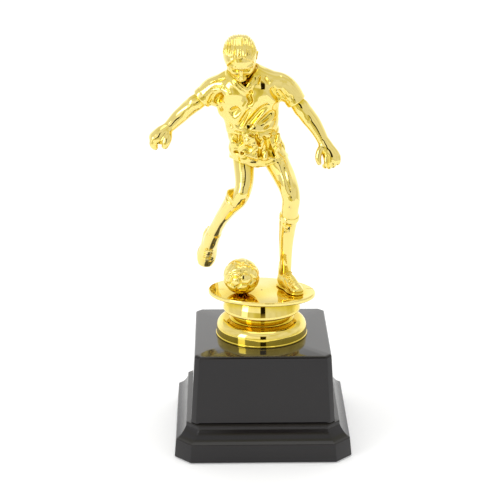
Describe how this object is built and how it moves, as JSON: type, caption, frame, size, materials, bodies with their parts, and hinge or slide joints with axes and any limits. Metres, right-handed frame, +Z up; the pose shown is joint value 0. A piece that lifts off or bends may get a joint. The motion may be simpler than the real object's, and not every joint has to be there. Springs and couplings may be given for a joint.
{
  "type": "figure trophy",
  "caption": "Gold footballer with a ball on an oval plate and turned riser, screwed to a black two-tier square base.",
  "frame": {"origin": "centre of the felt underside, on the surface the trophy stands on, on the axis of the tie rod", "axes": "+Z up along the tie rod, -Y out of the front face that takes the name plate, +X to the viewer's right"},
  "size_m": [0.0784, 0.07, 0.1648],
  "materials": {
    "gold_figure": "vacuum-metallised mirror gold on moulded plastic, lacquered",
    "gold_riser": "vacuum-metallised mirror gold on moulded plastic, lacquered",
    "black_plastic": "glossy charcoal-black moulded plastic",
    "felt": "black felt",
    "zinc_steel": "bright zinc-plated steel",
    "cast_iron": "raw cast iron"
  },
  "bodies": {
    "base": {"felt_pad": "felt", "bottom_plug": "black_plastic", "base_plinth": "black_plastic", "base_block": "black_plastic", "ballast_weight": "cast_iron", "tie_rod": "zinc_steel", "deck_washer": "zinc_steel", "spring_washer": "zinc_steel", "clamp_nut": "zinc_steel", "riser_dome": "gold_riser", "riser_neck": "gold_riser", "riser_cup": "gold_riser"},
    "figure": {"captive_nut": "zinc_steel", "figure_plate": "gold_figure", "football": "gold_figure", "player_figure": "gold_figure"}
  },
  "joints": [
    {"name": "figure_turn", "type": "hinge", "parent": "base", "child": "figure", "pos_m": [0, 0, 0.058], "axis": [0, 0, 1], "range_deg": [-180, 180]}
  ]
}
